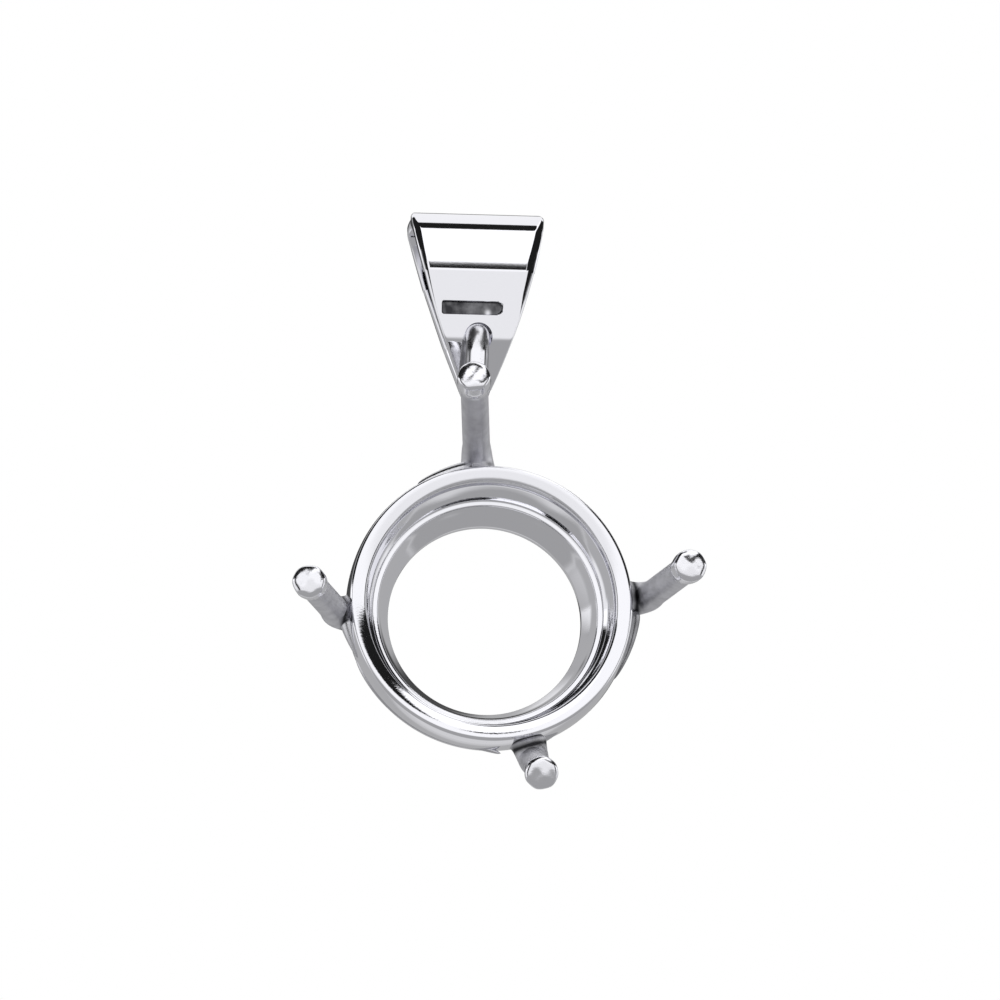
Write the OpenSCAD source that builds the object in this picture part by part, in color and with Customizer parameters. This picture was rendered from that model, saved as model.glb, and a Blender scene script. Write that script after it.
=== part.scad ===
// Pendant mount for one round stone: a folded tapered bail, and a four-prong setting that
// hangs from it on a soldered wire loop and swings freely to either side.
// X runs to the right, Y from the front (-Y) to the back, Z up. The origin is the point inside
// the bail's fold where a chain bears.

/* [Bail] */
// Width of the strap across the fold
bail_w = 4.46; // [4.0:0.02:5.0]
// Width of the strap at its foot
foot_w = 0.9; // [0.8:0.02:1.1]
// How far each side of the strap bows outside a straight taper
side_bow = 0.27; // [0:0.01:0.35]
// How much narrower the back leaf is than the front leaf, on each side at half height
back_trim = 0.24; // [0:0.02:0.3]
// Height of the bail from the top of the fold to the foot
bail_h = 6.16; // [5.9:0.02:6.4]
// Thickness of the strap
strap_t = 0.45; // [0.35:0.01:0.5]
// Outer radius of the fold
fold_r = 1.25; // [1.1:0.05:1.4]
// Rounding of the strap's top corners, seen from the front
corner_r = 0.2; // [0.05:0.05:0.4]

/* [Blank mark on the bail] */
// Length of the shallow blank field pressed into the front leaf
mark_l = 2.04; // [1.4:0.02:2.2]
// Width of that field
mark_w = 0.46; // [0.3:0.02:0.5]
// Depth of that field
mark_depth = 0.12; // [0.05:0.01:0.2]
// Distance of that field below the origin
mark_drop = 3.07; // [2.9:0.01:3.15]
// Sideways place of that field
mark_x = -0.22; // [-0.3:0.02:0.3]

/* [Wire loop] */
// Diameter of the loop's wire
wire_d = 0.76; // [0.6:0.02:0.8]
// Radial play of the wire in the holes of the bail
eye_play = 0.1; // [0.06:0.01:0.12]
// Distance of the two holes, and of the swing's axis, below the origin
eye_drop = 4.0; // [3.96:0.01:4.1]
// Distance from the bail's middle plane to the middle of each leg of the loop
leg_reach = 1.67; // [1.6:0.01:1.8]

/* [Setting] */
// Distance of the setting's centre below the axis of the swing
hang = 8.95; // [8.8:0.05:9.1]
// Sideways lean of the hanging setting, in degrees
lean = 3.8; // [0:0.1:5]
// Distance of the front lip in front of the bail's middle plane
lip_front = 0.9; // [0.8:0.05:1.0]
// Sideways place of the ring's axis off the line that the loop hangs on
ring_x = -0.14; // [-0.2:0.02:0.1]
// Radius of the bore inside the front lip
lip_bore_r = 4.1; // [4.08:0.01:4.12]
// Radius of the lip's crest, where the ring reaches furthest forward
crest_r = 4.54; // [4.48:0.01:4.58]
// Outer radius of the front lip
lip_r = 4.63; // [4.62:0.01:4.66]
// Largest outer radius of the band
band_r = 4.7; // [4.67:0.01:4.75]
// Inner radius of the land that carries the stone
land_r = 3.62; // [3.54:0.01:3.66]
// Radius of the opening through the back of the ring
hole_r = 3.19; // [3.1:0.01:3.24]
// Depth of the whole ring from the lip to its back
ring_h = 2.8; // [2.8:0.05:2.9]

/* [Prongs] */
// Diameter of the stub that carries a prong on the band
stub_d = 1.08; // [0.96:0.02:1.1]
// Diameter of a prong along its shank
prong_d = 0.9; // [0.8:0.02:0.94]
// Diameter of the swollen end of a prong
end_d = 1.08; // [0.96:0.02:1.12]
// Length of that swollen end
end_l = 1.1; // [0.8:0.1:1.6]
// How far the prong tips stand in front of the lip
prong_reach = 3.9; // [3:0.1:5]
// Depth of the prongs' stubs behind the lip
stub_depth = 1.0; // [0.8:0.05:1.0]
// Radius of the dome on each prong tip
dome_r = 0.66; // [0.58:0.01:0.8]

/* [Hidden] */
$fn = 48;

// Side profile of the strap's front half. Each row turns the outward normal to a new angle
// above the horizontal over a length, or runs straight where the angle stays.
TURN_TO = 0;
RUN = 1;
STEPS = 2;
FOLD_END = 20;
STRAP_LEGS = [
    // [normal's angle at the end, length along the strap, steps]
    [8, 1.3, 4],
    [-10.6, 0.27, 3],
    [-10.6, 2.1, 1],
    [-21, 0.14, 2],
    [-21, 1.7, 1]
];
fold_steps = 10;
straight_under = 0.01;
fold_z = strap_t - fold_r;

// Prongs, one row each: top, left, bottom and right as seen from the front. The angles are
// about the ring's axis, from +X towards +Z. Each prong was bent a little differently.
ROOT_ANGLE = 0;
ELBOW_R = 1;
TIP_ANGLE = 2;
TIP_R = 3;
PRONGS = [
    // [angle of the root, elbow's distance from the axis, tip's angle, tip's distance]
    [90.6, 5.22, 94.5, 6.71],
    [179.2, 4.96, 180.1, 6.36],
    [282.5, 5.29, 276.7, 6.78],
    [2, 5.24, 0, 6.14]
];

// Bail
bail_top = strap_t;
bail_foot = strap_t - bail_h;
through = 12;
least_hollow = 0.05;
outline_steps = 12;
corner_steps = 4;
panel_row = 7;
mark_cutter_h = 0.45;

// Wire loop, as [X, Y, Z] from the middle of its top for the feet
wire_r = wire_d / 2;
eye_r = wire_r + eye_play;
pin_half = 1.17;
elbow_wire_r = leg_reach - pin_half;
leg_low = 1.75;
FRONT_FOOT = [-0.2, -0.15, -3.5];
BACK_FOOT = [0, 0.75, -4.3];

// Ring, radii and depths behind the lip
dish_r = 4.34;
dish_y = 0.023;
bore_in_r = 4.16;
bore_in_y = 0.07;
bore_y = 0.16;
bore_end_y = 0.55;
cove_r = 4.02;
cove_y = 0.88;
cove_in_r = 3.93;
cove_in_y = 1.16;
land_out_r = 3.79;
land_y = 1.38;
cone_r = 3.48;
cone_y = 1.8;
hole_y = 2.45;
hole_round = 0.06;
back_r = 3.76;
taper_r = 4.34;
taper_y = 1.86;
shoulder_r = 4.58;
shoulder_y = 1.6;
band_back_r = 4.66;
band_back_y = 1.4;
band_y = 0.6;
lip_y = 0.07;
root_bite = 0.1;

// Prong
stub_r = stub_d / 2;
prong_r = prong_d / 2;
end_r = end_d / 2;
root_r = crest_r - root_bite;
dome_steps = 4;
dome_rise = dome_r - sqrt(dome_r * dome_r - end_r * end_r);
skin = 0.01;

// A point of the side profile is [distance from the middle plane, height, normal's angle]
function normal_at(a) = [cos(a), sin(a)];
function tangent_at(a) = [sin(a), -cos(a)];
function leg_point(p, a0, a1, run, t) =
    abs(a0 - a1) < straight_under
        ? let (q = [p[0], p[1]] + run * t * tangent_at(a0)) [q[0], q[1], a0]
        : let (
            r = run / ((a0 - a1) * PI / 180),
            a = a0 + (a1 - a0) * t,
            q = [p[0], p[1]] + r * (normal_at(a) - normal_at(a0))
        ) [q[0], q[1], a];
function leg_points(p, row) =
    [for (i = [1:row[STEPS]]) leg_point(p, p[2], row[TURN_TO], row[RUN], i / row[STEPS])];
function strap_points(p, k = 0) =
    k >= len(STRAP_LEGS)
        ? []
        : let (pts = leg_points(p, STRAP_LEGS[k]))
            concat(pts, strap_points(pts[len(pts) - 1], k + 1));
function fold_points() =
    [for (i = [0:fold_steps])
        let (a = 90 + (FOLD_END - 90) * i / fold_steps)
        [fold_r * cos(a), fold_z + fold_r * sin(a), a]];

fold = fold_points();
strap_outer = concat(fold, strap_points(fold[fold_steps]));
strap_inner = [for (p = strap_outer) [p[0] - strap_t * cos(p[2]), p[1] - strap_t * sin(p[2])]];
hollow = [for (p = strap_inner) [max(p[0], least_hollow), p[1]]];

// A closed outline from the points of one half, mirrored in the middle plane
function both_halves(half) =
    concat(
        [for (p = half) [-p[0], p[1]]],
        [for (i = [len(half) - 1:-1:0]) [half[i][0], half[i][1]]]
    );

// Half the strap's width at a height, a straight taper with a bow that is widest halfway
function strap_half_w(z) =
    let (t = (z - bail_foot) / bail_h)
    foot_w / 2 + (bail_w - foot_w) / 2 * t + side_bow * 4 * t * (1 - t);

// What the back leaf gives up at a height, nothing at the fold and at the foot
function trim_at(z) =
    let (t = min(1, (z - bail_foot) / -bail_foot))
    back_trim * 4 * t * (1 - t);

// Outline of one leaf seen from the front, widest at the top, with rounded top corners
top_z = bail_top - corner_r;
function leaf_half(trimmed) =
    concat(
        [for (i = [0:outline_steps])
            let (z = bail_foot + (top_z - bail_foot) * i / outline_steps)
            [strap_half_w(z) - trimmed * trim_at(z), z]],
        [for (i = [1:corner_steps])
            let (a = 90 * i / corner_steps)
            [strap_half_w(top_z) - corner_r + corner_r * cos(a), top_z + corner_r * sin(a)]]
    );

// Place of the strap's outer face at a height, along the straight front panel
panel_start = strap_outer[fold_steps + panel_row];
panel_tilt = panel_start[2];
function panel_y(z) = -(panel_start[0] + (z - panel_start[1]) * tan(-panel_tilt));

module rod(from, to, r) {
    run = to - from;
    translate(from)
        rotate([0, acos(run[2] / norm(run)), atan2(run[1], run[0])])
            cylinder(r = r, h = norm(run));
}

// Everything between the middle plane and the front or the back, inside one leaf's outline
module leaf_zone(trimmed) {
    rotate([90, 0, trimmed * 180])
        linear_extrude(height = through)
            polygon(both_halves(leaf_half(trimmed)));
}

module bail() {
    color([0.90, 0.90, 0.92])
    difference() {
        intersection() {
            rotate([90, 0, 90])
                linear_extrude(height = through, center = true)
                    polygon(both_halves(strap_outer));
            union() {
                leaf_zone(0);
                leaf_zone(1);
            }
        }
        rotate([90, 0, 90])
            linear_extrude(height = through, center = true)
                polygon(both_halves(hollow));
        translate([0, 0, -eye_drop])
            rotate([90, 0, 0])
                cylinder(r = eye_r, h = through, center = true);
        blank_mark();
    }
}

// The shallow field pressed into the front leaf, with round ends, sunk square to the panel
module blank_mark() {
    end_x = (mark_l - mark_w) / 2;
    translate([mark_x, panel_y(-mark_drop), -mark_drop])
        rotate([90 - panel_tilt, 0, 0])
            translate([0, 0, -mark_depth])
                linear_extrude(height = mark_cutter_h)
                    union() {
                        square([2 * end_x, mark_w], center = true);
                        for (side = [-1, 1])
                            translate([side * end_x, 0])
                                circle(d = mark_w);
                    }
}

// One leg of the loop: an elbow off the top rod, a straight piece, a knee and the foot
module loop_leg(side, foot) {
    knee = [0, side * leg_reach, -leg_low];
    translate([0, side * pin_half, -elbow_wire_r])
        rotate([90, 0, side * 90])
            rotate_extrude(angle = 90)
                translate([elbow_wire_r, 0])
                    circle(r = wire_r);
    rod([0, side * leg_reach, -elbow_wire_r], knee, wire_r);
    translate(knee)
        sphere(r = wire_r + skin);
    rod(knee, foot, wire_r);
}

// The loop's wire, from the axis of the swing down to the ring at the back and to the top
// prong at the front
module wire_loop() {
    rod([0, -pin_half, 0], [0, pin_half, 0], wire_r);
    loop_leg(-1, FRONT_FOOT);
    loop_leg(1, BACK_FOOT);
}

// Section of the ring as [radius, depth behind the lip]: over the lip to the outer wall, round
// the back, and up through the opening, the cone, the land and the bore
function ring_section() = [
    [bore_in_r, bore_in_y],
    [dish_r, dish_y],
    [crest_r, 0],
    [lip_r, lip_y],
    [band_r, band_y],
    [band_back_r, band_back_y],
    [shoulder_r, shoulder_y],
    [taper_r, taper_y],
    [back_r, ring_h],
    [hole_r + hole_round, ring_h],
    [hole_r, ring_h - hole_round],
    [hole_r, hole_y],
    [cone_r, cone_y],
    [land_r, land_y],
    [land_out_r, land_y],
    [cove_in_r, cove_in_y],
    [cove_r, cove_y],
    [lip_bore_r, bore_end_y],
    [lip_bore_r, bore_y]
];

module ring() {
    rotate([-90, 0, 0])
        rotate_extrude()
            polygon(ring_section());
}

function on_ring(angle, r, y) = [r * cos(angle), y, r * sin(angle)];

// Half section of a prong as [radius, distance along it]: shank, swollen end, dome
function prong_section(run) = concat(
    [[0, 0], [prong_r, 0], [prong_r, run - end_l], [end_r, run - end_l / 2]],
    [for (i = [0:dome_steps - 1])
        let (r = end_r * cos(90 * i / dome_steps))
        [r, run - dome_r + sqrt(dome_r * dome_r - r * r)]],
    [[0, run]]
);

module prong(row) {
    root = on_ring(row[ROOT_ANGLE], root_r, stub_depth);
    elbow = on_ring(row[ROOT_ANGLE], row[ELBOW_R], stub_depth);
    tip = on_ring(row[TIP_ANGLE], row[TIP_R], -prong_reach);
    run = tip - elbow;
    rod(root, elbow, stub_r);
    translate(elbow) {
        sphere(r = stub_r + skin);
        rotate([0, acos(run[2] / norm(run)), atan2(run[1], run[0])])
            rotate_extrude()
                polygon(prong_section(norm(run) + dome_rise));
    }
}

module setting() {
    color([0.88, 0.88, 0.91])
    translate([0, 0, -eye_drop])
        rotate([0, -lean, 0])
            union() {
                wire_loop();
                translate([ring_x, -lip_front, -hang]) {
                    ring();
                    for (row = PRONGS)
                        prong(row);
                }
            }
}

bail();
setting();
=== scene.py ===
# %% [markdown]
# # A pendant mount in polished silver
# This lesson builds a small jewellery finding: a bail, which is a strap folded over a chain, and
# a four-prong setting for a round stone, which hangs from the bail on a loop of wire.
# Polished metal has no look of its own. It shows the room, bent by its shape. So each piece is
# a smooth surface worked out with numpy, and the room around it is built with the same care.
# The first cell loads the measured model that every piece has to agree with.

# %% Load the measured frame
import math

import bmesh
import bpy
import numpy as np
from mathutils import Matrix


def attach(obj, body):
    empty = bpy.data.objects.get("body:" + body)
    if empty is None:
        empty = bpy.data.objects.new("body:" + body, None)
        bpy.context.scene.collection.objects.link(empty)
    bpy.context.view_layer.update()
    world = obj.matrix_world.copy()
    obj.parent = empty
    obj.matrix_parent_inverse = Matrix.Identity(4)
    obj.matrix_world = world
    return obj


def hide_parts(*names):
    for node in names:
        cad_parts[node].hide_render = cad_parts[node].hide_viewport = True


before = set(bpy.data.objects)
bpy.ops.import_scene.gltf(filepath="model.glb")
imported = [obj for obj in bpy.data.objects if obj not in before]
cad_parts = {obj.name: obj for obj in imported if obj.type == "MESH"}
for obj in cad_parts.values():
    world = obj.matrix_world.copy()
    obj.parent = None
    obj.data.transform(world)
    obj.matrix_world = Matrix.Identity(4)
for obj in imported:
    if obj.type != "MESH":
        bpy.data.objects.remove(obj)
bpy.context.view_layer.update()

MM = 0.001

# %% [markdown]
# ## The camera
# A jewellery photograph is taken with a long lens from far away, so that near and far parts are
# drawn at almost the same size. The camera looks slightly up at the hanging piece, from a little
# to its left. It is worked out from one aim point, one direction, and a lens that makes the
# picture 33 mm wide at the aim point.

# %% Place the camera
AIM_MM = np.array([1.03, 2.23, -8.64])
YAW_DEG = 5.6
RISE_DEG = 15.0
DISTANCE_MM = 400.0
PICTURE_MM = 33.0
SENSOR_MM = 36.0
CLIP_START_M = 0.01

yaw, rise = math.radians(YAW_DEG), math.radians(RISE_DEG)
look = np.array([math.sin(yaw) * math.cos(rise), math.cos(yaw) * math.cos(rise), math.sin(rise)])
camera_data = bpy.data.cameras.new("camera")
camera_data.sensor_width = SENSOR_MM
camera_data.lens = SENSOR_MM * DISTANCE_MM / PICTURE_MM
camera_data.clip_start = CLIP_START_M
camera = bpy.data.objects.new("camera", camera_data)
camera.location = (AIM_MM - DISTANCE_MM * look) * MM
camera.rotation_euler = (math.pi / 2 + rise, 0.0, -yaw)
scene = bpy.context.scene
scene.collection.objects.link(camera)
scene.camera = camera
print("lens, mm:", round(camera_data.lens, 1), "camera, m:", np.round(camera.location, 4))

# %% [markdown]
# ## The studio
# A photographer lights polished metal with large white cards and leaves dark gaps between them,
# because the gaps draw the lines that show the shape. The cards could be planes around the piece.
# They are painted on the world instead, by direction, because a room that is far away lights
# every side of the piece alike and makes no noise. The paint goes on through masks, which are 1
# on a card and 0 beside it.

# %% Helpers that make masks from nodes
world = bpy.data.worlds.new("studio")
scene.world = world
world.use_nodes = True
tree = world.node_tree
tree.nodes.clear()


def math_nodes(node_tree):
    """A function that adds one Math node to a tree; each input is a number or an output."""
    def math_node(operation, first, second=0.0):
        node = node_tree.nodes.new("ShaderNodeMath")
        node.operation = operation
        for socket, value in zip(node.inputs, (first, second)):
            if isinstance(value, (int, float)):
                socket.default_value = value
            else:
                node_tree.links.new(value, socket)
        return node.outputs[0]
    return math_node


world_math = math_nodes(tree)


def opposite(mask):
    """1 where the mask is 0: one less the mask."""
    return world_math("SUBTRACT", 1.0, mask)


def both(first, second):
    """The overlap of two masks: their product."""
    return world_math("MULTIPLY", first, second)


def rises_at(value, edge, soft):
    """0 below the edge and 1 above it, with an S-shaped passage as wide as soft."""
    node = tree.nodes.new("ShaderNodeMapRange")
    node.interpolation_type = "SMOOTHSTEP"
    node.inputs["From Min"].default_value = edge - soft / 2
    node.inputs["From Max"].default_value = edge + soft / 2
    tree.links.new(value, node.inputs["Value"])
    return node.outputs["Result"]


def between(value, low, high, soft):
    """1 from low to high and 0 elsewhere: one rising edge less the other. None is an open
    end."""
    if high is None:
        return rises_at(value, low, soft)
    if low is None:
        return opposite(rises_at(value, high, soft))
    return world_math("SUBTRACT", rises_at(value, low, soft), rises_at(value, high, soft))


def paint(under, tone, mask):
    """The tone where the mask is 1, and what was there before where it is 0:
    under + (tone - under) * mask."""
    gap = world_math("SUBTRACT", tone, under)
    return world_math("ADD", under, world_math("MULTIPLY", gap, mask))


print("world:", world.name, "nodes:", len(tree.nodes))

# %% [markdown]
# Most cards are a range of compass directions and a range of heights, both in degrees. The
# compass is 0 towards the camera's side and grows to the right. Aside is the compass without its
# sign, for cards that hang left and right alike. A later card covers the ones before it.

# %% Paint the cards in front and at the sides
GROUND_TONE = 0.36
LEVEL_TONE = 0.88
DARK_TONE = 0.012
WHITE_TONE = 1.2
FACE_TONE = 1.03

coordinate = tree.nodes.new("ShaderNodeTexCoord")
direction = tree.nodes.new("ShaderNodeSeparateXYZ")
tree.links.new(coordinate.outputs["Generated"], direction.inputs[0])
height = world_math("DEGREES", world_math("ARCSINE", direction.outputs["Z"]))
toward = world_math("MULTIPLY", direction.outputs["Y"], -1.0)
compass = world_math("DEGREES", world_math("ARCTAN2", direction.outputs["X"], toward))
aside = world_math("ABSOLUTE", compass)


def lay(under, cards):
    """Paint cards in order; a card's mask is its range around times its range of heights."""
    for card_tone, around, around_range, height_range in cards:
        mask = between(height, *height_range)
        if around is not None:
            mask = both(between(around, *around_range), mask)
        under = paint(under, card_tone, mask)
    return under


tone = lay(GROUND_TONE, [
    # tone, compass or aside, its (from, to, passage), height's (from, to, passage)
    (LEVEL_TONE, None, None, (-18.0, None, 12.0)),
    (FACE_TONE, aside, (None, 50.0, 8.0), (6.0, None, 10.0)),
    (DARK_TONE, None, None, (21.0, None, 3.0)),
    (DARK_TONE, compass, (14.0, 60.0, 4.0), (17.2, None, 1.6)),
    (FACE_TONE, compass, (-14.0, 13.0, 3.0), (18.0, 27.0, 1.6)),
    (DARK_TONE, aside, (54.0, 72.0, 6.0), (-18.0, 60.0, 6.0)),
    (WHITE_TONE, aside, (78.0, 118.0, 8.0), (12.0, 20.0, 2.0)),
])
print("world nodes:", len(tree.nodes))

# %% [markdown]
# Two more cards aren't plain ranges. The left edge of both leans to the right as it rises. The
# smaller one has a narrow gap in it. The lower edge of the larger one is level on the left and
# then climbs along a curve, so that the dark gap under it widens to the right.

# %% Paint the two shaped cards in front
LEFT_EDGE, LEFT_LEAN, LEFT_SOFT = -52.0, 0.7, 3.0
CURVE_REACH, CURVE_RISE, CURVE_SOFT = 35.0, 60.0, 3.0

unleaned = world_math("SUBTRACT", compass, world_math("MULTIPLY", height, LEFT_LEAN))
right_of_edge = rises_at(unleaned, LEFT_EDGE, LEFT_SOFT)
left_part = both(between(compass, -50.0, 3.0, 2.0), right_of_edge)
right_part = between(compass, 9.0, 14.0, 2.0)
small_card = both(world_math("ADD", left_part, right_part), between(height, 18.0, 33.0, 3.0))
tone = paint(tone, FACE_TONE, small_card)

fading = world_math("EXPONENT", world_math("DIVIDE", compass, -CURVE_REACH))
lower_edge = world_math("MULTIPLY", opposite(fading), CURVE_RISE)
over_curve = rises_at(world_math("SUBTRACT", height, lower_edge), 0.0, CURVE_SOFT)
large_card = both(both(rises_at(height, 31.0, 2.0), over_curve), right_of_edge)
tone = paint(tone, WHITE_TONE, large_card)
print("world nodes:", len(tree.nodes))

# %% [markdown]
# The rest of the cards close the room overhead and behind. The camera itself sees a plain white
# ground, because the painting is for the metal alone.

# %% Paint the cards overhead and behind, and light the world
WALL_TONE = 0.96
BACK_GAP_TONE = 0.06
BACK_LOW_TONE = 0.42
BACK_FLOOR_TONE = 0.66
SEEN_TONE = 1.0

tone = lay(tone, [
    (DARK_TONE, compass, (None, 30.0, 8.0), (58.0, None, 2.0)),
    (BACK_LOW_TONE, aside, (128.0, None, 8.0), (-18.0, 36.0, 6.0)),
    (BACK_LOW_TONE, aside, (118.0, None, 20.0), (-18.0, 8.0, 4.0)),
    (WALL_TONE, aside, (128.0, None, 8.0), (37.0, None, 8.0)),
    (WALL_TONE, None, None, (79.0, None, 3.0)),
    (BACK_GAP_TONE, aside, (152.0, None, 12.0), (10.0, 31.0, 4.0)),
    (BACK_FLOOR_TONE, aside, (146.0, None, 12.0), (-40.0, -20.0, 14.0)),
])
light_path = tree.nodes.new("ShaderNodeLightPath")
background = tree.nodes.new("ShaderNodeBackground")
seen = paint(tone, SEEN_TONE, light_path.outputs["Is Camera Ray"])
tree.links.new(seen, background.inputs["Color"])
world_output = tree.nodes.new("ShaderNodeOutputWorld")
tree.links.new(background.outputs[0], world_output.inputs["Surface"])
scene.view_settings.view_transform = "Standard"
print("world nodes:", len(tree.nodes))

# %% [markdown]
# The piece hangs well above a plain pale floor. The floor is out of the picture, and it is kept
# out of the metal's reflections too, because the painted ground stands for it there. One soft
# lamp lights it.

# %% Lay the floor and hang the lamp
FLOOR_DROP_M, FLOOR_HALF_M = 0.45, 3.0
FLOOR_COLOR, FLOOR_ROUGHNESS = (0.86, 0.86, 0.87, 1.0), 0.8
LAMP_SIZE_M, LAMP_WATTS, LAMP_HEIGHT_M = 1.5, 22.0, 1.2

floor_mesh = bpy.data.meshes.new("floor")
floor_mesh.from_pydata([(FLOOR_HALF_M * x, FLOOR_HALF_M * y, -FLOOR_DROP_M)
                        for x, y in ((-1, -1), (1, -1), (1, 1), (-1, 1))], [], [(0, 1, 2, 3)])
floor = bpy.data.objects.new("floor", floor_mesh)
scene.collection.objects.link(floor)
floor.visible_glossy = False
floor_paint = bpy.data.materials.new("pale_floor")
floor_paint.use_nodes = True
floor_shader = floor_paint.node_tree.nodes["Principled BSDF"]
floor_shader.inputs["Base Color"].default_value = FLOOR_COLOR
floor_shader.inputs["Roughness"].default_value = FLOOR_ROUGHNESS
floor.data.materials.append(floor_paint)

lamp_data = bpy.data.lights.new("soft_lamp", "AREA")
lamp_data.shape = "SQUARE"
lamp_data.size = LAMP_SIZE_M
lamp_data.energy = LAMP_WATTS
lamp = bpy.data.objects.new("soft_lamp", lamp_data)
lamp.location = (0.0, 0.0, LAMP_HEIGHT_M)
lamp.visible_camera = False
lamp.visible_glossy = False
scene.collection.objects.link(lamp)
print("floor, m:", 2 * FLOOR_HALF_M, "lamp, W:", LAMP_WATTS)

# %% [markdown]
# ## From a grid of points to a surface
# Every piece below is a grid: rows of points that follow a path, and columns that go round a
# section. Numpy works out all the points at once, and one helper turns any such grid into a
# mesh. Quads between neighbours are all it needs, with a cap where an end is closed.

# %% A helper that skins a grid
MERGE_M = 1e-8


def grid_faces(n_rows, n_cols, join_rows=False):
    """Quads (i, j), (i+1, j), (i+1, j+1), (i, j+1) of a grid, as indices i * n_cols + j. The last
    column joins the first one."""
    i = np.arange(n_rows if join_rows else n_rows - 1)
    i, j = np.meshgrid(i, np.arange(n_cols), indexing="ij")
    i_next, j_next = (i + 1) % n_rows, (j + 1) % n_cols
    quads = [i * n_cols + j, i_next * n_cols + j, i_next * n_cols + j_next, i * n_cols + j_next]
    return np.stack(quads, axis=-1).reshape(-1, 4)


def make_piece(name, points_mm, faces, sharp_deg):
    """A mesh object from points in millimetres, its faces turned outwards and smooth, with
    edges sharp where the faces turn by more than an angle."""
    mesh = bpy.data.meshes.new(name)
    mesh.from_pydata((points_mm * MM).tolist(), [], [f.tolist() for block in faces for f in block])
    shell = bmesh.new()
    shell.from_mesh(mesh)
    bmesh.ops.remove_doubles(shell, verts=shell.verts, dist=MERGE_M)
    bmesh.ops.delete(shell, geom=[v for v in shell.verts if not v.link_faces], context="VERTS")
    bmesh.ops.recalc_face_normals(shell, faces=shell.faces)
    shell.to_mesh(mesh)
    shell.free()
    mesh.shade_smooth()
    mesh.set_sharp_from_angle(angle=math.radians(sharp_deg))
    piece = bpy.data.objects.new(name, mesh)
    scene.collection.objects.link(piece)
    triangles = sum(len(p.vertices) - 2 for p in mesh.polygons)
    print(name, "points:", len(mesh.vertices), "triangles:", triangles)
    return piece


print("a grid of 3 rows and 4 columns has", len(grid_faces(3, 4)), "quads")

# %% [markdown]
# ## The bail
# The bail is one strap of silver, folded in half over the chain and tapering to its foot. Seen
# from the side, its outer face turns: steeply over the fold, then gently down to a crease, then
# straight to a second crease. Such a profile is easiest to give by its direction. The outward
# normal's angle is a list of values along the strap, and adding up small steps along the
# tangent gives the points.

# %% The strap's side profile
BAIL_TOP, BAIL_H = 0.45, 6.16
BAIL_FOOT = BAIL_TOP - BAIL_H
FOLD_R, FOLD_DEG = 1.25, 70.0
PANEL_DEG = 10.6
FINE_POINTS = 4001
TURNS = np.array([
    # [length of a stretch of the outer face, normal's angle at its end]
    [0.0, 90.0],
    [FOLD_R * math.radians(FOLD_DEG), 90.0 - FOLD_DEG],
    [1.24, 7.5],
    [0.22, 6.6],
    [0.11, -PANEL_DEG],
    [2.10, -PANEL_DEG],
    [0.14, -21.0],
    [1.70, -21.0],
])

turn_at = np.cumsum(TURNS[:, 0])
run_fine = np.linspace(0.0, turn_at[-1], FINE_POINTS)
angle_fine = np.radians(np.interp(run_fine, turn_at, TURNS[:, 1]))


def added_up(slope, step):
    """Running sum of a slope by the trapezium rule, starting from zero."""
    return np.concatenate([[0.0], np.cumsum((slope[1:] + slope[:-1]) / 2) * step])


fine_step = run_fine[1]
out_fine = added_up(np.sin(angle_fine), fine_step)
high_fine = BAIL_TOP - added_up(np.cos(angle_fine), fine_step)
print("strap's half length, mm:", round(turn_at[-1], 2), "foot at:", round(high_fine[-1], 2))

# %% [markdown]
# The strap is widest at the fold. Its sides bow a little outside a straight taper, the back leaf
# is slimmer than the front one, and the top corners are rubbed round.

# %% The strap's width
BAIL_W, FOOT_W = 4.46, 0.9
SIDE_BOW, BACK_TRIM = 0.27, 0.24
CORNER_TRIM, CORNER_H = 0.14, 0.24


def half_width(high, is_back):
    """Half of foot width plus a straight taper plus a bow of 4 t (1 - t), t from foot to top,
    less the back leaf's trim, less a corner's trim of (1 - drop / corner height) squared."""
    t = np.clip((high - BAIL_FOOT) / BAIL_H, 0.0, 1.0)
    width = FOOT_W / 2 + (BAIL_W - FOOT_W) / 2 * t + SIDE_BOW * 4 * t * (1 - t)
    leaf = np.clip((high - BAIL_FOOT) / -BAIL_FOOT, 0.0, 1.0)
    width = width - is_back * BACK_TRIM * 4 * leaf * (1 - leaf)
    return width - CORNER_TRIM * np.clip(1.0 - (BAIL_TOP - high) / CORNER_H, 0.0, 1.0) ** 2


print("half widths at top and foot:", np.round(half_width(np.array([BAIL_TOP, BAIL_FOOT]), 0), 2))

# %% [markdown]
# A hole goes through each leaf for the wire. A boolean could cut it, but it leaves long thin
# faces, and polished metal shows each one as a crack of light. Here the grid makes room instead:
# the rows and columns in a square around the hole are drawn in along straight rays until the
# innermost ones lie on the circle, and the faces inside are left out. The blank field that is
# pressed into the front leaf gets close rows and columns for its steep walls.

# %% Rows of the strap's grid
EYE_DROP, PATCH_HALF, RIM = 4.0, 0.66, 0.45
MARK_DROP, MARK_ROWS_HALF, MARK_ROWS = 3.07, 0.3, 34
FOLD_ROWS, FOLD_CROWDING = 46, 1.8
STRETCH_ROWS, LAST_ROWS = [16, 8, 8, 14, 8], 14
END_R, END_ROWS = 0.06, 7
ROW_GAP = 0.02


def run_of_height(high):
    """Distance along the strap at which its outer face has a given height."""
    return np.interp(-high, -high_fine, run_fine)


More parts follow.
